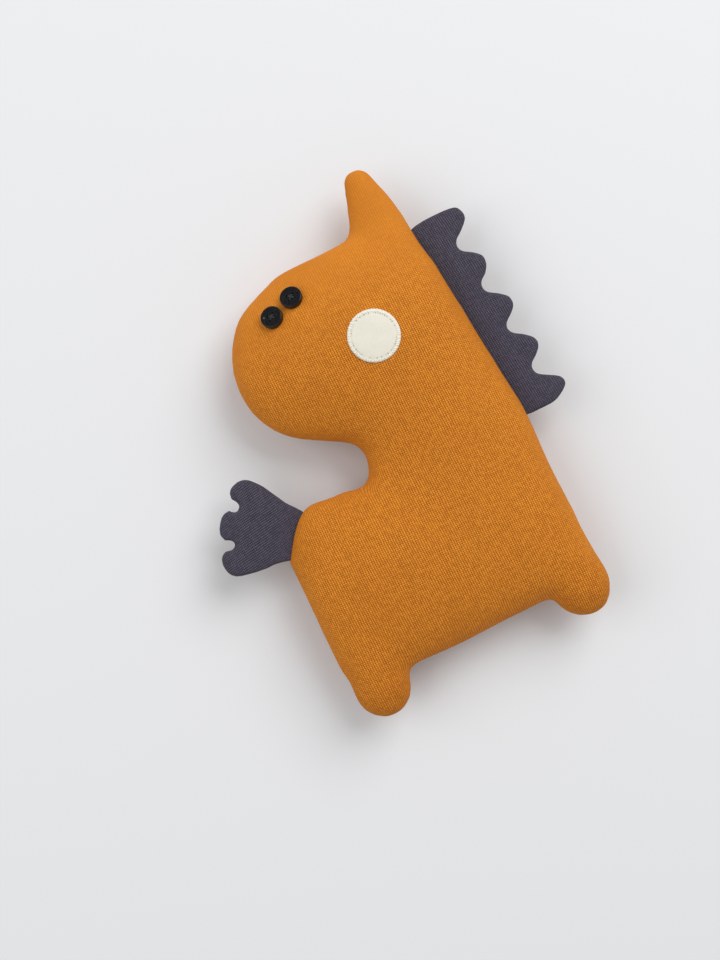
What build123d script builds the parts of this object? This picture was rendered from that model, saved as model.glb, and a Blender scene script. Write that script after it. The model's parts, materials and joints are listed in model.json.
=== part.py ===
"""A flat stuffed dinosaur: two knitted side panels sewn round their edge and filled with fibre.

A scalloped crest and a small three-lobed paw are sewn into the seam, two buttons make the eyes
and a felt disc makes the cheek. The toy lies on its plain side with the face side up.
Frame: +X towards the crest, +Y from the feet to the horn and +Z out of the face side. The
origin is in the middle of the belly, on the flat patch that it rests on.

Every form is made about the plane of the edge seam, and is lifted to the rest height last.
"""

from build123d import *
from math import atan2, cos, degrees, pi, radians, sin, sqrt
import os

# Fabric and filling
knit = 1.0                  # thickness of the knitted side panels
felt = 1.0                  # thickness of the cheek
flap_round = 0.8            # rounding of a flap's edge, as a share of its half thickness
flap_knit = 0.8             # thickness of the crest's and the paw's panels
seam_edge = 1.3             # half thickness where two panels close on each other
belly_half = 20.5           # half the thickness of the stuffed belly
head_half = 20.5            # the same at the head
neck_half = 19.5            # the same at the neck
swell_reach = 60.0          # how far in from the edge the filling is at its thickest
edge_share = 0.62           # radius of a stuffed edge, as a share of the half thickness
pressed_flat = 0.5          # how far the resting side is pressed in
seam_clearance = 0.6        # between the body and a flap that swings on its seam

# Outline of the body along the seam
belly_x = -62.7             # front of the belly
chest_y = 40.4              # top of the chest
crotch_y = -43.4            # seam between the feet
throat_x = -10.7            # deepest point under the chin
throat_r = 10.3
chin_lean = 60.4            # degrees that the underside of the chin leans from +Y
brow_r = 42.0               # from the nose to the crown
nose_x = -49.3
crown_y = 141.0
crown_flat = 2.3948         # straight length of the crown between the nape's rounding and the brow
fan_x = 4.0                 # on the crotch seam, below the throat
neck_y = 50.0               # where the filling of the head meets that of the torso
rear_x = 61.8               # rear end of the crotch seam
rear_r = 26.0               # the body's corner inside the rear foot
front_r = 12.0              # the body's corner inside the front foot
nape_r = 26.0               # the body's corner inside the horn
paw_low = Vector(-62.7, 22.6)         # lower end of the seam that holds the paw
paw_high = Vector(-48.6, 41.6)        # its upper end
crest_low = Vector(63.4, 35.0)        # lower end of the seam that holds the crest
crest_high = Vector(53.6, 134.5)      # its upper end

# Horn and feet, each a tapered finger from its root inside the body to its round tip
horn_tip = Vector(40.3, 169.0)
horn_tip_r = 7.0
horn_root = Vector(36.5, 116.0)
horn_root_width = 37.4
front_foot_tip = Vector(-50.7, -58.9)
front_foot_root = Vector(-44.0, -14.0)
rear_foot_tip = Vector(52.7, -57.2)
rear_foot_root = Vector(44.5, -14.0)
foot_tip_r = 13.0
foot_root_width = 34.0
horn_flatness = 0.78        # thickness of the horn, as a share of its width
foot_flatness = 0.82        # the same for a foot

# Crest: lobes along the back seam, counted from the top
crest_half = 2.5            # half its thickness
crest_lobes = 5
crest_end = 6.8             # along the seam, from each of its ends to the nearest lobe's apex
crest_lobe_out = 24.0       # from the seam to an apex, before it is rounded
crest_valley_out = 11.0     # the same for a valley
crest_heel_out = 14.0       # where the lower end turns up to the last lobe
crest_round = 4.5           # rounding of the apexes, the valleys and the heel
crest_end_round = 3.4       # rounding of the other end corners

# Paw: three lobes that fan out from the seam
paw_half = 2.7
paw_lobe_r = 6.3            # half the width of a lobe
paw_lobe_round = 5.0        # rounding of its corners
paw_web_round = 1.3         # rounding between two lobes
paw_wrist_round = 3.0
paw_lobes = [Vector(-83.7, 32.8), Vector(-77.8, 48.0), Vector(-66.4, 59.6)]

# Eyes: four-hole buttons, each held by a cross of thread
button_r = 5.0
button_rim = 1.3            # width of the raised rim
button_thick = 2.2
button_dish = 0.7           # how deep the middle lies below the rim
button_round = 0.45         # rounding of its upper edge
hole_r = 0.65
hole_out = 1.6              # from the button's centre to a hole's
thread_r = 0.35
button_gap = 0.3            # between a button and the fabric under it
upper_eye = Vector(-9.5, 126.6)
lower_eye = Vector(-20.8, 122.5)

# Cheek
cheek = Vector(15.5, 95.7)
cheek_r = 11.8

rest_z = belly_half - pressed_flat    # height of the seam above the surface it rests on
ROOM = 1000.0                         # larger than the toy, for cutting it by a plane


def crown_radius(reach, half):
    """Radius of the wide arc that tops a stuffed oval, tangent to its two edge arcs."""
    edge_r = edge_share * half
    return ((reach - edge_r) ** 2 + half**2 - edge_r**2) / (2 * (half - edge_r))


def swell(depth, half):
    """Half thickness of the filling at a depth in from the edge."""
    edge_r = edge_share * half
    crown_r = crown_radius(swell_reach, half)
    lean = atan2(crown_r - half, swell_reach - edge_r)
    if depth >= swell_reach:
        return half
    if depth > edge_r * (1 - sqrt(1 - sin(lean) ** 2)):
        return sqrt(crown_r**2 - (swell_reach - depth) ** 2) - (crown_r - half)
    return sqrt(max(edge_r**2 - (edge_r - depth) ** 2, 0))


def oval_section(front, back, half):
    """One stuffed cross-section: the upright plane through two seam points, closed by six arcs."""
    chord = back - front
    across = chord.normalized()
    plane = Plane(origin=(front + back) / 2, x_dir=across, z_dir=across.cross(Vector(0, 0, 1)))
    edge_r = edge_share * half
    edge_x = chord.length / 2 - edge_r
    lean = degrees(atan2(crown_radius(chord.length / 2, half) - half, edge_x))
    edge = Vector(edge_r, 0)
    corners = [edge, edge.rotate(Axis.Z, lean / 2), edge.rotate(Axis.Z, lean)]
    tip, bend, join = [Vector(edge_x, 0) + corner for corner in corners]

    def arc(*points):
        return ThreePointArc(*[Vector(point.X * x, point.Y * y) for point, x, y in points])

    arcs = [
        arc((tip, 1, 1), (bend, 1, 1), (join, 1, 1)),
        arc((join, 1, 1), (Vector(0, half), 1, 1), (join, -1, 1)),
        arc((join, -1, 1), (bend, -1, 1), (tip, -1, 1)),
        arc((tip, -1, 1), (bend, -1, -1), (join, -1, -1)),
        arc((join, -1, -1), (Vector(0, half), 1, -1), (join, 1, -1)),
        arc((join, 1, -1), (bend, 1, -1), (tip, 1, 1)),
    ]
    return plane * make_face(Wire(arcs))


def inner_corner(point, before, after, inset):
    """A corner of the outline moved inwards; the outline runs anticlockwise through it."""
    first, second = (point - before).normalized(), (after - point).normalized()
    normals = Vector(-first.Y, first.X) + Vector(-second.Y, second.X)
    return point + normals * (inset / (1 + first.dot(second)))


def front_outline(inset):
    """The paw's seam, the chest, the throat, the chin and the jaw, from the belly to the nose."""
    throat_centre = Vector(throat_x - throat_r, chest_y + throat_r)
    nose = Vector(nose_x, crown_y - brow_r)
    into_chin = Vector(1, 0).rotate(Axis.Z, chin_lean)
    jaw_r = ((nose - throat_centre).dot(into_chin) - throat_r) / (1 - into_chin.X)
    chest_start = Vector(throat_centre.X, chest_y)
    belly_low = Vector(belly_x, crotch_y)
    low = inner_corner(paw_low, paw_high, belly_low, inset)
    high = inner_corner(paw_high, chest_start, paw_low, inset)
    throat = CenterArc(throat_centre, throat_r + inset, -90, 90 + chin_lean)
    jaw = CenterArc(nose + Vector(jaw_r, 0), jaw_r - inset, 180 + chin_lean, -chin_lean)
    return [Line(low, high), Line(high, throat @ 0), throat, Line(throat @ 1, jaw @ 0), jaw]


def back_outline(inset):
    """What lies across from each stretch of the front outline."""
    slope = crest_high - crest_low
    rear = Vector(rear_x, crotch_y)
    nape = crest_high + slope * ((crown_y - crest_high.Y) / slope.Y)
    nape_reach = nape_r * slope.Y / (slope.length - slope.X)
    brow_centre = Vector(nose_x + brow_r, crown_y - brow_r)
    front_centre = Vector(belly_x + front_r, crotch_y + front_r)
    fan = Vector(fan_x, crotch_y + inset)
    crown = Vector(nape.X - nape_reach - crown_flat, crown_y - inset)
    corner = CenterArc(front_centre, front_r - inset, 180, 90)
    brow = CenterArc(brow_centre, brow_r - inset, 90, 90)
    back = FilletPolyline(
        fan,
        inner_corner(rear, Vector(fan_x, crotch_y), crest_low, inset),
        inner_corner(crest_low, rear, crest_high, inset),
        inner_corner(nape, crest_low, Vector(crown.X, crown_y), inset),
        crown,
        radius=[rear_r - inset, rear_r - inset, nape_r - inset],
    )
    return [corner, Line(corner @ 1, fan), back, Line(crown, brow @ 0), brow]


def body_form(inset=0.0):
    """The stuffed body and head: ovals that fan round the throat from the belly to the nose."""
    counts = [4, 3, 10, 3, 5]
    legs = list(zip(front_outline(inset), back_outline(inset), counts))
    sections = []
    for number, (front, back, count) in enumerate(legs):
        for step in range(count):
            share = step / count
            if number == 0:
                share = share**2
            if number == 1:
                share += 0.5 / count
            if number == 4:
                share = 1 - (1 - share) ** 2
            near, far = front @ share, back @ share
            middle = (near.X + far.X) / 2
            if number < 2:
                half = swell(middle - belly_x - inset, belly_half - inset)
            elif number == 2:
                half = belly_half - (belly_half - neck_half) * sin(pi * share) ** 2 - inset
            else:
                half = swell(middle - nose_x - inset, head_half - inset)
            sections.append(oval_section(near, far, max(half, seam_edge - inset)))
    return loft(sections)


def finger(tip, tip_r, root, root_width, flatness, inset):
    """A stuffed horn or foot: a cone with a round tip, flattened towards the seam."""
    axis = tip - root
    tip_r -= inset
    centre = Vector(0, axis.length - tip_r - inset)
    corner, shoulder, top = Vector(root_width / 2 - inset, 0), Vector(tip_r, 0), Vector(0, tip_r)
    profile = [
        Line((0, 0), corner),
        Line(corner, centre + shoulder),
        ThreePointArc(centre + shoulder, centre + top.rotate(Axis.Z, -45), centre + top),
        Line(centre + top, (0, 0)),
    ]
    cone = revolve(make_face(Wire(profile)), Axis.Y)
    heading = degrees(atan2(axis.Y, axis.X)) - 90
    return Pos(*root) * Rot(0, 0, heading) * scale(cone, by=(1, 1, flatness))


def horn_form(inset=0.0):
    return finger(horn_tip, horn_tip_r, horn_root, horn_root_width, horn_flatness, inset)


def front_foot_form(inset=0.0):
    return finger(
        front_foot_tip, foot_tip_r, front_foot_root, foot_root_width, foot_flatness, inset
    )


def rear_foot_form(inset=0.0):
    return finger(
        rear_foot_tip, foot_tip_r, rear_foot_root, foot_root_width, foot_flatness, inset
    )


def face_side(shape):
    """What lies above the seam."""
    return shape & Pos(0, 0, ROOM / 2) * Box(ROOM, ROOM, ROOM)


def plain_side(shape):
    """What lies below the seam."""
    return shape & Pos(0, 0, -ROOM / 2) * Box(ROOM, ROOM, ROOM)


def pressed(shape, inset=0.0):
    """The resting side pressed flat, under the same wall of fabric."""
    return shape & Pos(0, 0, inset - rest_z + ROOM / 2) * Box(ROOM, ROOM, ROOM)


def sum_of(shapes):
    """Shapes joined one after another."""
    joined = shapes[0]
    for shape in shapes[1:]:
        joined += shape
    return joined


def crest_outline():
    """The scalloped flap of the crest: its lobes point straight back from the slanting seam."""
    down = (crest_low - crest_high).normalized()
    length = (crest_low - crest_high).length

    def at(along, outwards):
        return crest_high + down * along + Vector(outwards, 0)

    pitch = (length - 2 * crest_end) / (crest_lobes - 1)
    points = [at(0, seam_clearance), at(0, crest_lobe_out), at(crest_end, crest_lobe_out)]
    for lobe in range(1, crest_lobes):
        apex = crest_end + lobe * pitch
        points += [at(apex - pitch / 2, crest_valley_out), at(apex, crest_lobe_out)]
    points += [at(length, crest_heel_out), at(length, seam_clearance)]
    radii = [crest_end_round] * 2 + [crest_round] * (2 * crest_lobes) + [crest_end_round]
    return make_face(FilletPolyline(*points, close=True, radius=radii))


def paw_outline():
    """The hand-shaped flap of the paw: three lobes that fan out from its seam."""
    along = (paw_high - paw_low).normalized()
    clear = Vector(-along.Y, along.X) * seam_clearance
    wrist = (paw_low + paw_high) / 2
    points, radii = [paw_low + clear], [paw_wrist_round]
    for number, centre in enumerate(paw_lobes):
        if number:
            points.append((centre + paw_lobes[number - 1]) / 2)
            radii.append(paw_web_round)
        reach = (centre - wrist).normalized() * paw_lobe_r
        side = Vector(reach.Y, -reach.X)
        points += [centre + reach - side, centre + reach + side]
        radii += [paw_lobe_round] * 2
    points.append(paw_high + clear)
    radii.append(paw_wrist_round)
    return make_face(FilletPolyline(*points, close=True, radius=radii))


def flap(outline, half):
    """A thin stuffed flap with a rounded edge: its wadding, and the cover round it."""
    def long_edges(face, thick):
        edges = extrude(face, thick, both=True).edges()
        return edges.filter_by(lambda edge: abs(edge.center().Z) > thick / 2)

    rounding = flap_round * half
    bevel = (2 - sqrt(2)) * (rounding - flap_knit)
    wadding = chamfer(long_edges(offset(outline, -flap_knit), half - flap_knit), bevel)
    return wadding, fillet(long_edges(outline, half), rounding) - wadding


def button():
    """A four-hole button: a disc with a raised rim, dished in the middle."""
    middle = button_r - button_rim
    disc = Cylinder(button_r, button_thick, align=(Align.CENTER, Align.CENTER, Align.MIN))
    disc = fillet(disc.edges().group_by(Axis.Z)[-1], button_round)
    dish = Pos(0, 0, button_thick) * Cone(middle - button_dish, middle + button_dish, 2 * button_dish)
    holes = [
        Pos(hole_out * cos(radians(turn)), hole_out * sin(radians(turn)), 0)
        * Cylinder(hole_r, 4 * button_thick)
        for turn in range(45, 360, 90)
    ]
    return disc - dish - holes


def thread():
    """Two stitches that cross in the dish and go down through opposite holes."""
    floor = button_thick - button_dish
    stitches = []
    for number, turn in enumerate([45, 135]):
        top = floor + thread_r * (1.2 + number)
        reach = Vector(hole_out, 0).rotate(Axis.Z, turn)
        path = Polyline(-reach, -reach + Vector(0, 0, top), reach + Vector(0, 0, top), reach)
        section = Plane(path @ 0, z_dir=path % 0) * Circle(thread_r)
        stitches.append(sweep(section, path=path, transition=Transition.RIGHT))
    return stitches[0] + stitches[1]


def eye_seat(place, skin):
    """Where a button lies on the fabric: just above it, square to it."""
    ray = Axis(Vector(place.X, place.Y, 0), Vector(0, 0, 1))
    point, normal = max(skin.find_intersection_points(ray), key=lambda hit: hit[0].Z)
    if normal.Z < 0:
        normal = -normal
    return Plane(point + normal * button_gap, x_dir=(1, 0, 0), z_dir=normal)


def toy():
    """Every piece of the toy by name, about the plane of its edge seam."""
    forms = [body_form, horn_form, front_foot_form, rear_foot_form]
    skin = pressed(sum_of([form() for form in forms]))
    filling = pressed(sum_of([form(knit) for form in forms]), knit)
    body, horn, front_foot, rear_foot = [pressed(form(knit), knit) for form in forms]
    above_neck = Pos(0, neck_y + ROOM / 2, 0) * Box(ROOM, ROOM, ROOM)
    pieces = {
        "front_panel": face_side(skin) - face_side(filling),
        "back_panel": plain_side(skin) - plain_side(filling),
        "torso_stuffing": body - above_neck,
        "head_stuffing": body & above_neck,
        "horn_stuffing": horn - body,
        "front_foot_stuffing": front_foot - body,
        "rear_foot_stuffing": rear_foot - body,
    }

    for name, outline, half in [
        ("crest", crest_outline(), crest_half),
        ("paw", paw_outline(), paw_half),
    ]:
        wadding, cover = flap(outline, half)
        pieces[name + "_wadding"] = wadding
        pieces[name + "_front_panel"] = face_side(cover)
        pieces[name + "_back_panel"] = plain_side(cover)

    for name, place in [("upper_eye", upper_eye), ("lower_eye", lower_eye)]:
        seat = eye_seat(place, pieces["front_panel"])
        pieces[name + "_button"] = seat * button()
        pieces[name + "_thread"] = seat * thread()
        print(name, "axis", seat.z_dir, "at", seat.origin + Vector(0, 0, rest_z))

    disc = Pos(cheek.X, cheek.Y, ROOM / 2) * Cylinder(cheek_r, ROOM)
    pieces["cheek_patch"] = (Pos(0, 0, felt) * body_form() & disc) - body_form()
    return pieces


os.makedirs("parts", exist_ok=True)
for name, piece in toy().items():
    export_step(Pos(0, 0, rest_z) * piece, f"parts/{name}.step")
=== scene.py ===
# %% [markdown]
# # A flat stuffed dinosaur
# The toy is a pattern piece cut twice from mustard knit, sewn round its edge, turned and filled.
# A slate crest and paw are sewn into that edge, a cream felt disc makes the cheek and two black
# buttons make the eyes. The exact solids come first and stay fixed, so every piece below is
# shaped on them and the toy keeps its real size.

import json
import math
import random

import bmesh
import bpy
import numpy as np
from mathutils import Matrix, Vector
from mathutils.bvhtree import BVHTree


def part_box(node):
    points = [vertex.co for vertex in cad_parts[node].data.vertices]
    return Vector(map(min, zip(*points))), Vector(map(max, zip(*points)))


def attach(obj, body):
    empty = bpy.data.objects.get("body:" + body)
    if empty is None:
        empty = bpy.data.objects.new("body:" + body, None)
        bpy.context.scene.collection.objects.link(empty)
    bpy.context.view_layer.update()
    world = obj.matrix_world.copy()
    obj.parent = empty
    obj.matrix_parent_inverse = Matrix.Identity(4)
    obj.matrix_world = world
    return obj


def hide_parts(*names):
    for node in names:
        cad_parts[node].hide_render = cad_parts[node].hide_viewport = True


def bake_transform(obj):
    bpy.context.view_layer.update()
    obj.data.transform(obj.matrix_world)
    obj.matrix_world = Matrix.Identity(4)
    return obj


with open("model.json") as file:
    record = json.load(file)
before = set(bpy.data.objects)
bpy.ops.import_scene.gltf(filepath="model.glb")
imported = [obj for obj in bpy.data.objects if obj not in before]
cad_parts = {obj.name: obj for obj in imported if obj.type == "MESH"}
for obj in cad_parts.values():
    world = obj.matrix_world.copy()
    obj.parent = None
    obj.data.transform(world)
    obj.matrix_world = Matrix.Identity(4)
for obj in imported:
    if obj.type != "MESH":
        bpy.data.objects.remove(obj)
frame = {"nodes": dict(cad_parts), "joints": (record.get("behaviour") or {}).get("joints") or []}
cad = frame["nodes"]
scene = bpy.context.scene
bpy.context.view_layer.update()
MM = 0.001
seam_z = sum(corner.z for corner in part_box("crest_wadding")) / 2
print("seam plane at", round(seam_z / MM, 2), "mm over the floor")

# %% [markdown]
# ## Helpers for meshes
# A piece is built in a bmesh, which holds the geometry while it is being changed, and becomes an
# object once it is ready. A modifier's result is taken back into the mesh with `settled`, so that
# the next step works on real vertices.

# %% New pieces and settled modifiers
def linked(name, data):
    """An object in the scene that shows a mesh, a curve, a lamp or a camera."""
    made = bpy.data.objects.new(name, data)
    scene.collection.objects.link(made)
    return made


def new_piece(name, bm):
    """An object at the origin that holds a finished bmesh, smooth shaded."""
    mesh = bpy.data.meshes.new(name)
    bm.to_mesh(mesh)
    bm.free()
    return smooth(linked(name, mesh))


def smooth(piece):
    """Shades a piece's faces smoothly."""
    piece.data.polygons.foreach_set("use_smooth", [True] * len(piece.data.polygons))
    return piece


def settled(piece):
    """Takes what a piece's modifiers made into its own mesh."""
    made = piece.evaluated_get(bpy.context.evaluated_depsgraph_get())
    mesh = bpy.data.meshes.new_from_object(made)
    mesh.name = piece.name
    piece.modifiers.clear()
    piece.data = mesh
    return smooth(piece)


def places(piece):
    """A piece's vertices as an array, one row each."""
    flat = np.empty(len(piece.data.vertices) * 3)
    piece.data.vertices.foreach_get("co", flat)
    return flat.reshape(-1, 3)


def vertex_normals(piece):
    """A piece's normals as an array, one row for each vertex."""
    flat = np.empty(len(piece.data.vertices) * 3)
    piece.data.vertex_normals.foreach_get("vector", flat)
    return flat.reshape(-1, 3)


def set_places(piece, array):
    """Moves a piece's vertices to the rows of an array."""
    piece.data.vertices.foreach_set("co", array.ravel())
    piece.data.update()


# %% [markdown]
# ## One skin round the solids
# The solids of a stuffed form meet face to face. A voxel remesh wraps them in one even skin of
# small squares, which is what cloth needs: it bends alike in every direction. The skin is then
# cut at the seam plane, because each side of the toy is a panel of its own, and the cut edge is
# tucked in a little, as the seam thread draws it in.

# %% Wrapping the solids and cutting at the seam
def wrapped(name, cad_names, voxel):
    """One even skin round copies of several solids."""
    bm = bmesh.new()
    for cad_name in cad_names:
        bm.from_mesh(cad[cad_name].data)
    bmesh.ops.remove_doubles(bm, verts=bm.verts, dist=0.001 * MM)
    piece = new_piece(name, bm)
    remesh = piece.modifiers.new("wrap", "REMESH")
    remesh.mode = "VOXEL"
    remesh.voxel_size = voxel
    return settled(piece)


def upper_half(piece, voxel, tuck, rounds):
    """Keeps what is above the seam, draws its edge in and irons out the creases."""
    bm = bmesh.new()
    bm.from_mesh(piece.data)
    everything = bm.verts[:] + bm.edges[:] + bm.faces[:]
    bmesh.ops.bisect_plane(
        bm, geom=everything, plane_co=(0, 0, seam_z), plane_no=(0, 0, 1), clear_inner=True
    )
    sliver = voxel / 2.5
    low = [v for v in bm.verts if v.co.z < seam_z + sliver]
    bmesh.ops.remove_doubles(bm, verts=low, dist=sliver)
    bm.normal_update()
    rim = [v for v in bm.verts if v.is_boundary]
    for v in rim:
        v.co -= Vector((v.normal.x, v.normal.y, 0)).normalized() * tuck
        v.co.z = seam_z
    inner = [v for v in bm.verts if not v.is_boundary]
    for number in range(rounds):
        sideways = number < 2  # the first rounds also even out the squares
        bmesh.ops.smooth_vert(
            bm, verts=inner, factor=0.5, use_axis_x=sideways, use_axis_y=sideways, use_axis_z=True
        )
    bm.to_mesh(piece.data)
    bm.free()
    print(piece.name, "is cut from", len(piece.data.polygons), "squares")
    return smooth(piece)


# %% [markdown]
# ## Filling
# Fibre filling pushes the fabric out evenly, like air. Blender's cloth has a pressure setting
# that does the same: the seam is pinned, gravity is off, and twenty frames are enough for the
# fabric to swell. Sculpting the swell by hand would be slower and less even. How far a point may
# move is capped, so the toy stays the size of its solids.

# %% Pressing the filling in
swell_frames = 20


def filled(piece, pressure, cap):
    """Swells a panel's fabric under pressure while its seam stays where it is."""
    before = places(piece)
    sewn = [i for i, row in enumerate(before) if abs(row[2] - seam_z) < 0.001 * MM]
    piece.vertex_groups.new(name="sewn").add(sewn, 1.0, "REPLACE")
    fabric = piece.modifiers.new("filling", "CLOTH")
    fabric.settings.vertex_group_mass = "sewn"
    fabric.settings.use_pressure = True
    fabric.settings.uniform_pressure_force = pressure
    fabric.settings.effector_weights.gravity = 0
    fabric.collision_settings.use_collision = False
    fabric.point_cache.frame_start = 1
    fabric.point_cache.frame_end = swell_frames
    for number in range(1, swell_frames + 1):
        scene.frame_set(number)
    settled(piece)
    scene.frame_set(1)
    piece.vertex_groups.clear()
    moved = places(piece) - before
    length = np.linalg.norm(moved, axis=1, keepdims=True)
    set_places(piece, before + moved * np.minimum(1, cap / np.maximum(length, 1e-9)))
    most, mean = length.max() / MM, length.mean() / MM
    print(piece.name, "swelled by", round(most, 2), "mm at most, mean", round(mean, 2))
    return piece


# %% [markdown]
# ## Packing and crisp edges
# A hand packs the fibre harder in some places, and the fabric gives there. Each such place is a
# soft push sideways that fades to nothing at its reach. On a flap, the seam is clipped at every
# notch before it is turned, so the notches stay deep while the lobes are round.

# %% Soft pushes and crisp outlines
def eased(share):
    """A share held between 0 and 1 that starts and ends softly."""
    share = np.clip(share, 0, 1)
    return share * share * (3 - 2 * share)


def pushed(piece, spots):
    """Shifts the fabric round each place: x, y, reach and the shift in x and y, in millimetres."""
    rows = places(piece)
    for x, y, reach, right, up in spots:
        away = np.linalg.norm(rows[:, :2] / MM - (x, y), axis=1) / reach
        rows[:, :2] += np.outer(eased(1 - away), (right * MM, up * MM))
    set_places(piece, rows)
    return piece


def crisp(piece, width, notch, lobe):
    """Deepens the notches along a panel's edge and rounds its lobes, each by its own gain."""
    rows = places(piece)
    on_rim = np.abs(rows[:, 2] - seam_z) < 0.001 * MM
    rim = rows[on_rim, :2]
    outwards = vertex_normals(piece)[on_rim, :2]
    weight = np.exp(-((np.linalg.norm(rim[:, None] - rim[None], axis=2) / width) ** 2))
    rise = rim - weight @ rim / weight.sum(axis=1, keepdims=True)
    rise *= np.where((rise * outwards).sum(axis=1) < 0, notch, lobe)[:, None]
    away = np.linalg.norm(rows[:, None, :2] - rim[None], axis=2)
    share = eased(1 - away.min(axis=1) / (2 * width))
    rows[:, :2] += rise[away.argmin(axis=1)] * share[:, None]
    set_places(piece, rows)
    return piece


# %% [markdown]
# ## Laying a panel flat
# Knit has a direction: its columns of stitches, the wales, run up the pattern piece. A pattern
# that is only looked at from above would smear down the toy's sides. So each point keeps its
# place seen from above and is then moved outwards by the length that the round of the side
# adds. One unit of the map is one millimetre, and V runs along the wales.

# %% A flat map at true size
def laid_flat(piece, rounding, wales=(0, 1)):
    """Gives a panel the UV map "fabric": the flat panel in millimetres, V along the wales."""
    mesh = piece.data
    facing = vertex_normals(piece)
    level = np.maximum(np.linalg.norm(facing[:, :2], axis=1), 1e-6)
    lean = np.arctan2(level, np.abs(facing[:, 2]))
    added = rounding * (lean - np.sin(lean)) / level
    flat = (places(piece)[:, :2] + facing[:, :2] * added[:, None]) / MM
    turned = (flat[:, 0] + 1j * flat[:, 1]) / complex(wales[1], -wales[0])
    corner = np.empty(len(mesh.loops), np.int32)
    mesh.loops.foreach_get("vertex_index", corner)
    sheet = np.column_stack([turned.real, turned.imag])[corner]
    mesh.uv_layers.new(name="fabric").data.foreach_set("uv", sheet.ravel())
    print(piece.name, "laid flat spans", *np.round(np.ptp(sheet, axis=0)), "mm")
    return piece


# %% [markdown]
# ## Fabric
# The squares that cloth likes are too coarse for a close look, so each is split once on a smooth
# curve. Real fabric has two sides and a wall between them, which shows where two panels meet. The
# other panel of a form is the same pattern piece turned over, as it is when the toy is cut out.

# %% Finer squares and the thickness of the fabric
def finer(piece):
    """Splits every square of a panel into four, on a smooth curve."""
    split = piece.modifiers.new("finer", "SUBSURF")
    split.levels = split.render_levels = 1
    return settled(piece)


def thick(piece, wall):
    """Gives a panel the thickness of its fabric, on the inside."""
    shell = piece.modifiers.new("fabric", "SOLIDIFY")
    shell.thickness = wall
    shell.offset = -1
    return settled(piece)


def turned_over(piece, name):
    """The other panel of a form: the same pattern piece, mirrored in the seam plane."""
    bm = bmesh.new()
    bm.from_mesh(piece.data)
    about_seam = Matrix.Translation((0, 0, -seam_z))
    bmesh.ops.scale(bm, vec=(1, 1, -1), space=about_seam, verts=bm.verts)
    bmesh.ops.reverse_faces(bm, faces=bm.faces)
    return new_piece(name, bm)


# %% [markdown]
# ## Body
# The body, head, horn and feet are one bag on the real toy, so their five wads and two panels
# are wrapped together. The horn's root and the crotch lose their creases and come back as the
# soft hollows that stretched fabric makes.

# %% Body panels
wads = ["torso", "head", "horn", "front_foot", "rear_foot"]
wads = [name + "_stuffing" for name in wads]
body_voxel = 2.5 * MM
knit_wall = 1.0 * MM
front = wrapped("body_front", ["front_panel", "back_panel"] + wads, body_voxel)
upper_half(front, body_voxel, tuck=0.4 * MM, rounds=12)
filled(front, pressure=4, cap=3 * MM)
pushed(front, [
    (51, 147, 28, 2.0, 0.0),  # back of the horn
    (-23, 137, 16, 0.4, -1.2),  # brow
    (-44, 42, 12, -0.2, 0.5),  # top of the chest
    (-17, 41, 11, 0.5, -2.0),  # foot of the throat
    (-8, -44, 26, 0.0, -0.7),  # between the feet
    (62, 10, 34, -0.6, 0.0),  # middle of the back
    (62, -20, 14, 0.8, 0.0),  # small of the back
    (64, -40, 26, 1.4, 0.0),  # heel of the rear foot
    (56, -58, 18, 0.3, -1.5),  # sole of the rear foot
    (-50, -58, 20, -0.3, -1.1),  # sole of the front foot
    (-62, -46, 18, -0.7, 0.0),  # toe of the front foot
])
finer(front)
laid_flat(front, rounding=16 * MM)
back = turned_over(front, "body_back")

# %% [markdown]
# ## The flat rest
# The plain side carries the toy's weight, so it is pressed flat where it meets the floor. A hard
# cut would leave a crease round the flat patch. This soft limit bends the belly into it, and
# its rim is then brought back to the seam.

# %% Pressing the plain side flat
press_soft = 1.5 * MM
rows = places(back)
rows[:, 2] = (rows[:, 2] + np.sqrt(rows[:, 2] ** 2 + press_soft**2)) / 2
rows[:, 2] -= rows[:, 2].min()
rows[:, 2] *= seam_z / rows[:, 2].max()
set_places(back, rows)
print("the rest is flat to 0.1 mm over", int((rows[:, 2] < 0.1 * MM).sum()), "points")

# %% [markdown]
# Both panels are the body's own colour and belong to the body that the joints leave in place.
# The front one stands for the filling too, because the filling can't be seen.

# %% Finishing the panels
for panel in (front, back):
    thick(panel, knit_wall)
    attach(panel, "toy")
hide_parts("front_panel", *wads)
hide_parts("back_panel")

# %% [markdown]
# ## Crest and paw
# These are thin flaps, sewn from two small panels with a little wadding, so they are made the
# same way at a finer scale. Where a flap goes into the body's seam it is pinched thin, and it
# reaches in between the two body panels.

# %% The root of a flap
flap_voxel = 1.0 * MM
flap_wall = 0.6 * MM
root_reach = 7 * MM  # from the seam to where the flap is its full thickness
root_deep = 5 * MM  # how far it reaches in between the body's panels
root_thin = 0.35  # its thickness at the seam, as a share of the full one


def rooted(piece, at, out):
    """Pinches a flap thin towards its root and lets the root reach into the body's seam."""
    rows = places(piece)
    share = eased((rows[:, :2] - at) @ out / root_reach)
    rows[:, 2] = seam_z + (rows[:, 2] - seam_z) * (root_thin + (1 - root_thin) * share)
    rows[:, :2] -= np.outer(root_deep * (1 - share), out)
    set_places(piece, rows)


def seam_of(name, low, high):
    """The middle of a flap's seam, and the way that the flap points from it, in metres."""
    low, high = np.array(low) * MM, np.array(high) * MM
    along = (high - low) / np.linalg.norm(high - low)
    out = np.array([along[1], -along[0]])
    middle = (low + high) / 2
    centre = sum(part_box(name + "_wadding"), Vector()) / 2
    if (np.array(centre)[:2] - middle) @ out < 0:
        out = -out
    print(name, "points towards", *np.round(out, 2))
    return middle, out
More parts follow.
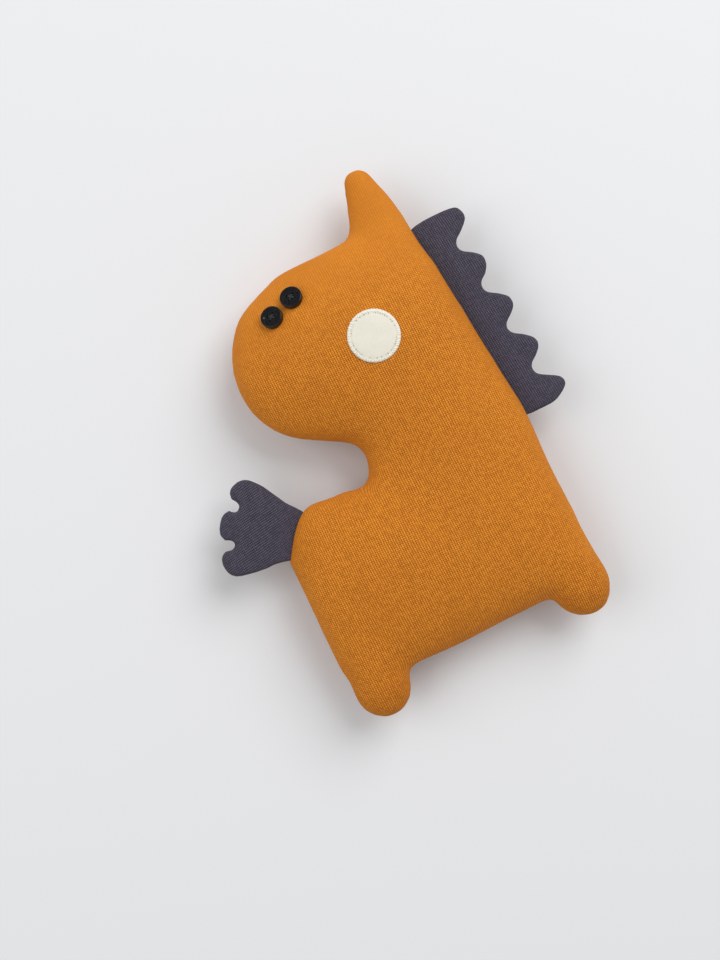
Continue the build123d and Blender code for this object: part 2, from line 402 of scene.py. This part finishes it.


# %% [markdown]
# The steps are the body's: wrap, cut, fill, crisp, push, split and lay flat. What differs is the
# root.

# %% Flap panels
def flap(name, seam_low, seam_high, wales, spots):
    """Both panels of a flap, filled and pinched at the root."""
    middle, out = seam_of(name, seam_low, seam_high)
    solids = [name + ending for ending in ("_front_panel", "_back_panel", "_wadding")]
    face = wrapped(name + "_front", solids, flap_voxel)
    upper_half(face, flap_voxel, tuck=0.2 * MM, rounds=4)
    filled(face, pressure=4, cap=0.8 * MM)
    crisp(face, width=3 * MM, notch=1.7, lobe=-0.5)
    pushed(face, spots)
    finer(face)
    rooted(face, middle, out)
    laid_flat(face, 2 * MM, wales)
    reverse = turned_over(face, name + "_back")
    for panel in (face, reverse):
        thick(panel, flap_wall)
        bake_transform(panel)
    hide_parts(solids[0], solids[2])
    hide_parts(solids[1])
    return face, reverse


crest = flap("crest", (63.4, 35.0), (53.6, 134.5), (-0.098, 0.995), [
    (76, 133, 9, -1.2, -0.4),  # top lobe
    (77, 105, 7, -0.8, 0.2),  # the lobe under it
    (83, 41, 9, 1.8, 0.4),  # bottom lobe
])
paw = flap("paw", (-62.7, 22.6), (-48.6, 41.6), (0.988, 0.157), [
    (-64, 65, 10, -1.1, -0.9),  # upper finger
    (-87, 27, 9, 0.8, 0.3),  # lower finger
    (-65, 22, 9, 0.7, 1.5),  # underside of the wrist
])

# %% [markdown]
# ## Cheek
# The cheek is a felt disc, sewn down near its edge. A bevelled cylinder would give the rim alone.
# A turned profile also gives the shallow groove that the stitches pull in. The disc is then
# draped: each point is lifted by the height of the fabric under it.

# %% Draping on the face
cheek_low, cheek_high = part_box("cheek_patch")
cheek_centre = (cheek_low + cheek_high) / 2
cheek_r = (cheek_high.x - cheek_low.x) / 2
groove_r = cheek_r - 1.8 * MM
print("cheek is", round(2 * cheek_r / MM, 1), "mm across")
face_of_front = BVHTree.FromObject(front, bpy.context.evaluated_depsgraph_get())


def fabric_height(x, y):
    """Height of the body's face under a point."""
    hit = face_of_front.ray_cast(Vector((x, y, 1)), Vector((0, 0, -1)))
    return hit[0].z


def draped(bm):
    """Moves a flat piece at the origin onto the cheek."""
    for v in bm.verts:
        x, y = v.co.x + cheek_centre.x, v.co.y + cheek_centre.y
        v.co = (x, y, fabric_height(x, y) + v.co.z)


# %% [markdown]
# The profile runs from the middle over the groove to the rim. Its first number is a share of the
# disc's radius and the second the height over the fabric in millimetres. The disc keeps a map of
# its own, flat and from its centre, which the felt uses to find the stitches.

# %% Felt disc
profile = [
    (0.0, 0.88), (0.35, 0.88), (0.62, 0.9), (0.76, 0.9), (0.82, 0.84), (0.85, 0.74),
    (0.88, 0.78), (0.93, 0.76), (0.97, 0.62), (0.99, 0.4), (0.995, 0.2), (0.99, -0.1), (0.0, -0.1),
]
bm = bmesh.new()
line = [bm.verts.new((share * cheek_r, 0, height * MM)) for share, height in profile]
for a, b in zip(line, line[1:]):
    bm.edges.new((a, b))
bmesh.ops.spin(
    bm, geom=bm.verts[:] + bm.edges[:], cent=(0, 0, 0), axis=(0, 0, 1),
    angle=math.tau, steps=96, use_merge=True,
)
bmesh.ops.remove_doubles(bm, verts=bm.verts, dist=0.001 * MM)
bmesh.ops.recalc_face_normals(bm, faces=bm.faces)
disc = bm.loops.layers.uv.new("disc")
for face in bm.faces:
    for corner in face.loops:
        corner[disc].uv = corner.vert.co.xy / MM
draped(bm)
cheek = new_piece("cheek_felt_disc", bm)
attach(cheek, "toy")
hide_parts("cheek_patch")
print("the disc has", len(cheek.data.polygons), "faces")

# %% [markdown]
# The thread runs round the rim in a close overcast stitch: short bars from the groove to the
# edge, one beside the other. They are sewn by hand, so no two have the same length or lean.
# Each is a small stretched ball with few faces, which is enough for a bar half a millimetre wide.

# %% Overcast stitches
stitches = 60
bar_half_width, bar_half_height, bar_lift = 0.27 * MM, 0.24 * MM, 0.78 * MM
bar_tilt = 0.25  # its inner end dips into the groove
chance = random.Random(4)
bm = bmesh.new()
for number in range(stitches):
    turn = math.tau * (number + chance.uniform(-0.25, 0.25)) / stitches
    bar = bmesh.ops.create_uvsphere(bm, u_segments=6, v_segments=5, radius=1)["verts"]
    half_size = (chance.uniform(0.7, 1.15) * MM, bar_half_width, bar_half_height)
    bmesh.ops.scale(bm, vec=half_size, verts=bar)
    bmesh.ops.rotate(bm, matrix=Matrix.Rotation(chance.uniform(-0.7, 0.7), 3, "Z"), verts=bar)
    bmesh.ops.rotate(bm, matrix=Matrix.Rotation(bar_tilt, 3, "Y"), verts=bar)
    place = (groove_r + chance.uniform(0.85, 1.15) * MM, 0, bar_lift)
    bmesh.ops.translate(bm, vec=place, verts=bar)
    bmesh.ops.rotate(bm, matrix=Matrix.Rotation(turn, 3, "Z"), verts=bar)
draped(bm)
cheek_stitches = new_piece("cheek_stitches", bm)
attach(cheek_stitches, "toy")
print(stitches, "stitches stand", round(math.tau * groove_r / stitches / MM, 2), "mm apart")

# %% [markdown]
# ## Eyes
# The buttons keep their solids, which already have the rim, the dish and the four holes. The
# thread is finer than its solid: each of the two crossing stitches is three strands that rise
# from one hole, cross the dish and go down the opposite hole.

# %% One strand over the dish
strand_r = 0.16 * MM
strand_gap = 0.26 * MM
in_hole = 0.6 * MM  # height of a strand's ends, inside the button
over_dish = 1.75  # height of a strand over the dish, in millimetres
strand_steps = [  # out from the middle in millimetres, whether it has risen, and its spread
    (-1.6, False, 0.6), (-1.55, True, 1.0), (0, True, 1.3), (1.55, True, 1.0), (1.6, False, 0.6),
]


def eye_axis(eye):
    """The foot of an eye's button and the axis that it turns on."""
    joint = next(j for j in frame["joints"] if j["name"] == eye + "_twist")
    return Vector(joint["pos_m"]), Vector(joint["axis"]).normalized()


def strand(curve, foot, reach, up, bow, tall):
    """One strand that rises from a hole, crosses the dish and goes down the opposite hole."""
    spline = curve.splines.new("NURBS")
    spline.points.add(len(strand_steps) - 1)
    for point, (out, risen, spread) in zip(spline.points, strand_steps):
        place = foot + reach * out * MM + up * (tall if risen else in_hole) + bow * spread
        point.co = (*place, 1)
    spline.order_u = 3
    spline.use_endpoint_u = True


# %% [markdown]
# The second stitch lies over the first, and the middle strand of each over its neighbours. A
# curve with a bevel is the quickest round thread, and its mesh is taken once it is drawn.

# %% Crossed stitches
def crossed_thread(eye):
    """Two stitches of three strands each, in the frame of a button."""
    foot, up = eye_axis(eye)
    side = (Vector((1, 0, 0)) - up * up.x).normalized()
    ahead = up.cross(side)
    curve = bpy.data.curves.new(eye + "_stitches", "CURVE")
    curve.dimensions = "3D"
    curve.bevel_depth = strand_r
    curve.bevel_resolution = 2
    curve.resolution_u = 6
    for level, turn in enumerate((45, 135)):
        a = math.radians(turn)
        reach = side * math.cos(a) + ahead * math.sin(a)
        for number in (-1, 0, 1):
            bow = up.cross(reach) * number * strand_gap
            tall = (over_dish + 0.3 * level + 0.1 * (number == 0)) * MM
            strand(curve, foot, reach, up, bow, tall)
    source = linked(eye + "_line", curve)
    drawn = source.evaluated_get(bpy.context.evaluated_depsgraph_get())
    piece = smooth(linked(eye + "_stitches", bpy.data.meshes.new_from_object(drawn)))
    bpy.data.objects.remove(source)
    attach(piece, eye)
    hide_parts(eye + "_thread")
    print(piece.name, "has", len(piece.data.polygons), "faces")
    return piece


upper_thread = crossed_thread("upper_eye")
lower_thread = crossed_thread("lower_eye")
buttons = [cad["upper_eye_button"], cad["lower_eye_button"]]

# %% [markdown]
# ## Materials
# A material is a graph of nodes. The small class below adds a node, fills its inputs and hands
# back its output in one call, which keeps each finish short enough to read. A node's outputs
# are counted from 0, and two of the texture coordinate's are needed here.

# %% A short way to write nodes
NORMAL, OBJECT = 1, 3


class Finish:
    """A material whose nodes are added with one call each."""

    def __init__(self, name):
        self.material = bpy.data.materials.new(name)
        self.material.use_nodes = True
        self.tree = self.material.node_tree
        self.shader = self.tree.nodes["Principled BSDF"]

    def put(self, node, socket, value):
        """Links or sets one input."""
        if isinstance(value, bpy.types.NodeSocket):
            self.tree.links.new(value, node.inputs[socket])
        else:
            node.inputs[socket].default_value = value

    def add(self, kind, output=0, settings=None, **inputs):
        """A new node's output, with its inputs given by name."""
        node = self.tree.nodes.new(kind)
        for key, value in (settings or {}).items():
            setattr(node, key, value)
        for key, value in inputs.items():
            self.put(node, key.replace("_", " "), value)
        return node.outputs[output]

    def split(self, vector):
        """The three parts of a vector."""
        node = self.tree.nodes.new("ShaderNodeSeparateXYZ")
        self.put(node, 0, vector)
        return node.outputs[0], node.outputs[1], node.outputs[2]

    def math(self, operation, *values):
        """The result of one calculation."""
        node = self.tree.nodes.new("ShaderNodeMath")
        node.operation = operation
        for number, value in enumerate(values):
            self.put(node, number, value)
        return node.outputs[0]

    def mix(self, share, a, b):
        """A colour between two others."""
        node = self.tree.nodes.new("ShaderNodeMix")
        node.data_type = "RGBA"
        for socket, value in ((0, share), (6, a), (7, b)):
            self.put(node, socket, value)
        return node.outputs[2]

    def set(self, **inputs):
        """Sets or links the shader's own inputs."""
        for key, value in inputs.items():
            self.put(self.shader, key.replace("_", " "), value)

    def give(self, *pieces):
        """Puts the finish on pieces."""
        for piece in pieces:
            piece.data.materials.clear()
            piece.data.materials.append(self.material)


# %% [markdown]
# Colours are written as a picture editor shows them. Light adds up in linear values, so they
# are turned into those first.

# %% Colours
def paint(red, green, blue):
    """A colour from 0 to 255, turned to the linear one that light uses."""
    made = []
    for value in (red, green, blue):
        share = value / 255
        made.append(share / 12.92 if share <= 0.04045 else ((share + 0.055) / 1.055) ** 2.4)
    return (*made, 1)


# %% [markdown]
# ## Knit
# Plain knit is columns of small V shapes. Across a wale, each V has two legs that slope away
# from its middle. Along it, the Vs repeat every course. Both repeats come from the flat map in
# millimetres. Modelling every loop would take millions of faces, so the stitches are a height
# that drives the colour and the bump; where the height is low, between the loops, the colour goes
# towards the shade colour, which is painted shade in the gaps. The courses slant a little, as they
# do in knit made on a round machine, a slow noise lets the rows wander, and every stitch is a touch
# lighter or darker than the next. Where the fabric turns to the side, its stitches are less
# marked. The feet, low on the map, are painted a touch darker: painted shade for their undersides.

# %% The stitches
course_slant = 0.12
leg_slope = 1.2  # courses that a V's leg rises over a wale's width; each leg is half as wide


def stitches_of(f, sheet, wale, course):
    """The height of plain knit, and a number for each stitch."""
    wander = f.add("ShaderNodeTexNoise", Vector=sheet, Scale=0.07, Detail=2.0)
    sway = f.math("SUBTRACT", wander, 0.5)
    right, up, _ = f.split(sheet)
    across = f.math("ADD", f.math("DIVIDE", right, wale), sway)
    slant = f.math("MULTIPLY_ADD", right, course_slant, up)
    along = f.math("ADD", f.math("DIVIDE", slant, course), sway)
    middle = f.math("ABSOLUTE", f.math("SUBTRACT", f.math("FRACT", across), 0.5))
    slanted = f.math("MULTIPLY_ADD", middle, leg_slope, along)
    column = f.math("POWER", f.math("COSINE", f.math("MULTIPLY", middle, math.pi)), 0.7)
    loop = f.math("SINE", f.math("MULTIPLY", f.math("FRACT", slanted), math.pi))
    loop = f.math("MULTIPLY", column, f.math("MULTIPLY_ADD", loop, 0.75, 0.25))
    cleft = f.math("MULTIPLY", f.math("MAXIMUM", f.math("SUBTRACT", 0.12, middle), 0.0), 2.5)
    own = f.add("ShaderNodeCombineXYZ", X=f.math("FLOOR", across), Y=f.math("FLOOR", slanted))
    return f.math("SUBTRACT", loop, cleft), own


print("a V's leg climbs", leg_slope / 2, "course")

# %% [markdown]
# How marked the stitches are changes over the toy: less towards the horn, where the knit is
# stretched over a thin cone, less on the sides, and in slow clouds all over.

# %% The knit finish
def knit(name, yarn, shade, wale, course, lift, top, foot_shade=0.0):
    """Plain knit with its wales along V, in millimetres; its stitches are less marked at the top."""
    f = Finish(name)
    sheet = f.add("ShaderNodeUVMap", settings={"uv_map": "fabric"})
    stitch, own = stitches_of(f, sheet, wale, course)
    tint = f.add("ShaderNodeTexWhiteNoise", Vector=own)
    fuzz = f.add("ShaderNodeTexNoise", Vector=sheet, Scale=2.4, Detail=3.0, Roughness=0.7)
    cloud = f.add("ShaderNodeTexNoise", Vector=sheet, Scale=0.04, Detail=2.0)
    patchy = f.math("SUBTRACT", cloud, 0.5)
    # Random tone of each stitch and the fuzz, plus painted shade between the loops from the stitch
    # height.
    tone_and_stitch_shade = f.math("MULTIPLY", f.math("SUBTRACT", tint, 0.5), 0.2)
    tone_and_stitch_shade = f.math("MULTIPLY_ADD", f.math("SUBTRACT", fuzz, 0.5), 0.35, tone_and_stitch_shade)
    tone_and_stitch_shade = f.math("MULTIPLY_ADD", f.math("SUBTRACT", stitch, 0.5), 1.0, tone_and_stitch_shade)
    up = f.split(sheet)[1]
    horn = {"From_Min": 90.0, "From_Max": 140.0, "To_Min": 1.45, "To_Max": top}
    marked = f.add("ShaderNodeMapRange", Value=up, **horn)
    # The stitch contrast, with its painted shade between the loops, is weaker where the fabric faces
    # to the side.
    facing = f.split(f.add("ShaderNodeTexCoord", output=NORMAL))[2]
    level = f.math("POWER", f.math("ABSOLUTE", facing), 2.0)
    level = f.math("MULTIPLY_ADD", level, 0.65, 0.35)
    marked = f.math("MULTIPLY", f.math("MULTIPLY", marked, level), f.math("ADD", cloud, 0.5))
    share = f.math("MULTIPLY_ADD", tone_and_stitch_shade, marked, f.math("MULTIPLY_ADD", patchy, 0.25, 0.5))
    # Painted shade: the knit is darkened over the feet, low on the map, for their undersides.
    feet = {"From_Min": -52.0, "From_Max": -28.0, "To_Min": foot_shade, "To_Max": 0.0}
    share = f.math("SUBTRACT", share, f.add("ShaderNodeMapRange", Value=up, **feet))
    f.set(Base_Color=f.mix(share, shade, yarn), Roughness=0.85)
    f.set(Sheen_Weight=0.25, Sheen_Roughness=0.45, Sheen_Tint=yarn, Specular_IOR_Level=0.25)
    height = f.math("MULTIPLY", f.math("MULTIPLY_ADD", fuzz, 0.3, stitch), marked)
    f.set(Normal=f.add("ShaderNodeBump", Strength=0.8, Distance=lift, Height=height))
    return f


mustard_wale, mustard_course = 1.06, 0.85
slate_wale, slate_course = 1.0, 0.8
# The mustard knit gets painted shade over the feet; the slate knit gets none.
mustard = knit(
    "mustard_knit", paint(250, 158, 46), paint(140, 70, 8), mustard_wale, mustard_course,
    lift=0.2 * MM, top=0.4, foot_shade=0.12,
)
mustard.give(front, back)
slate = knit(
    "slate_knit", paint(96, 91, 107), paint(28, 25, 34), slate_wale, slate_course,
    lift=0.18 * MM, top=1.3,
)
slate.give(*crest, *paw)
print("the mustard knit has", round(1 / (mustard_wale * mustard_course), 2), "stitches per mm2")

# %% [markdown]
# ## Felt, thread and buttons
# Felt is a mat of short fibres, so its colour and bump are two scales of noise and nothing
# repeats. The needle leaves a small hole beside each stitch, some deeper than others, and the shade
# inside each is painted as a dark dot. The holes are too small to model, so the painted shade comes
# from the disc's own map: its angle counts the stitches, and its radius finds the groove.

# %% Needle pricks
prick_deep = 0.32  # how far a prick reaches along the radius, in millimetres
prick_narrow = 3.4  # how many times narrower it is than the stitches' spacing


def pricks(f):
    """Painted shade in the needle holes: dark dots along the groove, one to a stitch, each with a
    strength of its own.
    """
    x, y, _ = f.split(f.add("ShaderNodeUVMap", settings={"uv_map": "disc"}))
    count = f.math("MULTIPLY", f.math("ARCTAN2", y, x), stitches / math.tau)
    nearest = f.math("ROUND", count)
    own = f.add("ShaderNodeTexWhiteNoise", settings={"noise_dimensions": "1D"}, W=nearest)
    beside = f.math("MULTIPLY", f.math("SUBTRACT", count, nearest), prick_narrow)
    squares = f.math("ADD", f.math("POWER", x, 2.0), f.math("POWER", y, 2.0))
    off = f.math("SUBTRACT", f.math("SQRT", squares), groove_r / MM - 0.1)
    off = f.math("DIVIDE", off, prick_deep)
    away = f.math("ADD", f.math("MULTIPLY", off, off), f.math("MULTIPLY", beside, beside))
    return f.math("MULTIPLY", f.math("EXPONENT", f.math("MULTIPLY", away, -1.0)), own)


print("the pricks lie", round(groove_r / MM - 0.1, 2), "mm from the middle of the cheek")

# %% [markdown]
# The felt is cream with slightly darker clouds, rough, and with a little sheen from the fibres
# that stand up.

# %% Felt
felt = Finish("cream_felt")
spot = felt.add("ShaderNodeTexCoord", output=OBJECT)
mat = felt.add("ShaderNodeTexNoise", Vector=spot, Scale=900.0, Detail=4.0, Roughness=0.65)
patch = felt.add("ShaderNodeTexNoise", Vector=spot, Scale=160.0, Detail=2.0)
mottle = felt.math("ADD", felt.math("MULTIPLY", mat, 0.6), felt.math("MULTIPLY", patch, 0.4))
cream = felt.mix(mottle, paint(216, 211, 194), paint(238, 235, 223))
# Painted shade in the needle holes darkens the cream towards a brown grey.
felt.set(Base_Color=felt.mix(pricks(felt), cream, paint(120, 112, 96)))
felt.set(Roughness=0.95, Sheen_Weight=0.2, Sheen_Tint=paint(250, 246, 235), Specular_IOR_Level=0.2)
felt.set(Normal=felt.add("ShaderNodeBump", Strength=0.6, Distance=0.12 * MM, Height=mat))
felt.give(cheek)
print("the felt has", len(felt.tree.nodes), "nodes")

# %% [markdown]
# Both threads are twisted cotton. A fine noise stands for the twist, in the colour and the bump.
# The thread of the cheek is cream, and the thread of the eyes is nearly black.

# %% Thread
def thread_finish(name, scale, dark, light, **surface):
    """Twisted thread between two colours."""
    f = Finish(name)
    spot = f.add("ShaderNodeTexCoord", output=OBJECT)
    twist = f.add("ShaderNodeTexNoise", Vector=spot, Scale=scale, Detail=2.0)
    f.set(Base_Color=f.mix(twist, dark, light), **surface)
    f.set(Normal=f.add("ShaderNodeBump", Strength=0.5, Distance=0.05 * MM, Height=twist))
    return f


cotton = thread_finish(
    "cream_thread", 2500.0, paint(236, 232, 218), paint(253, 251, 244),
    Roughness=0.7, Sheen_Weight=0.15, Specular_IOR_Level=0.3,
)
cotton.give(cheek_stitches)
black_cotton = thread_finish(
    "grey_thread", 3000.0, paint(22, 22, 24), paint(58, 57, 61),
    Roughness=0.65, Sheen_Weight=0.1, Specular_IOR_Level=0.35,
)
black_cotton.give(upper_thread, lower_thread)
print("threads:", cotton.material.name, black_cotton.material.name)

# %% [markdown]
# The buttons are polished black plastic. Handling leaves faint rub marks, which mostly change the
# roughness, so the highlights break up a little while the black stays nearly even.

# %% Buttons
gloss = Finish("black_button")
spot = gloss.add("ShaderNodeTexCoord", output=OBJECT)
rub = gloss.add("ShaderNodeTexNoise", Vector=spot, Scale=450.0, Detail=4.0)
gloss.set(Base_Color=gloss.mix(rub, paint(9, 10, 13), paint(17, 18, 22)))
gloss.set(Roughness=gloss.math("MULTIPLY_ADD", rub, 0.1, 0.1))
gloss.set(Specular_IOR_Level=0.3)
gloss.give(*buttons)
low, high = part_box("upper_eye_button")
print("a button is", round((high.x - low.x) / MM, 1), "mm wide as seen from above")

# %% [markdown]
# ## Floor, light and camera
# The toy lies on a pale floor that reaches far past the view. One large soft lamp stands to the
# right, a weak one fills from the left, and the rest is an even pale world. Large lamps give the
# soft shadows of a bright room. The camera looks straight down, turned so that the toy leans to
# the left.

# %% Stage
bm = bmesh.new()
bmesh.ops.create_grid(bm, x_segments=1, y_segments=1, size=3.0)
floor = new_piece("floor", bm)
paper = Finish("pale_paper")
paper.set(Base_Color=paint(229, 230, 232), Roughness=0.9, Specular_IOR_Level=0.1)
paper.give(floor)


def soft_lamp(name, place, watts, size=1.4, aim=(0, 0.05, 0)):
    """A square soft lamp that faces the middle of the toy."""
    lamp = bpy.data.lights.new(name, "AREA")
    lamp.shape = "SQUARE"
    lamp.size = size
    lamp.energy = watts
    holder = linked(name, lamp)
    holder.location = place
    holder.rotation_euler = (Vector(aim) - Vector(place)).to_track_quat("-Z", "Y").to_euler()


soft_lamp("key", (1.2, 0.75, 1.4), watts=25)
soft_lamp("fill", (-1.1, 0.6, 1.3), watts=10)
world = bpy.data.worlds.new("studio")
world.use_nodes = True
world.node_tree.nodes["Background"].inputs["Color"].default_value = (1, 1, 1, 1)
world.node_tree.nodes["Background"].inputs["Strength"].default_value = 0.45
scene.world = world
print("lamps:", *[light.name for light in bpy.data.lights])

# %% Camera
height_over_seam = 0.6
lean_of_toy = 26  # degrees
lens = bpy.data.cameras.new("camera")
lens.lens = 50
lens.sensor_width = 36
camera = linked("camera", lens)
camera.location = (-0.0175, 0.0419, seam_z + height_over_seam)
camera.rotation_euler = (0, 0, math.radians(-lean_of_toy))
scene.camera = camera
scene.view_settings.view_transform = "Standard"
print("the camera stands", round(camera.location.z, 3), "m over the floor")
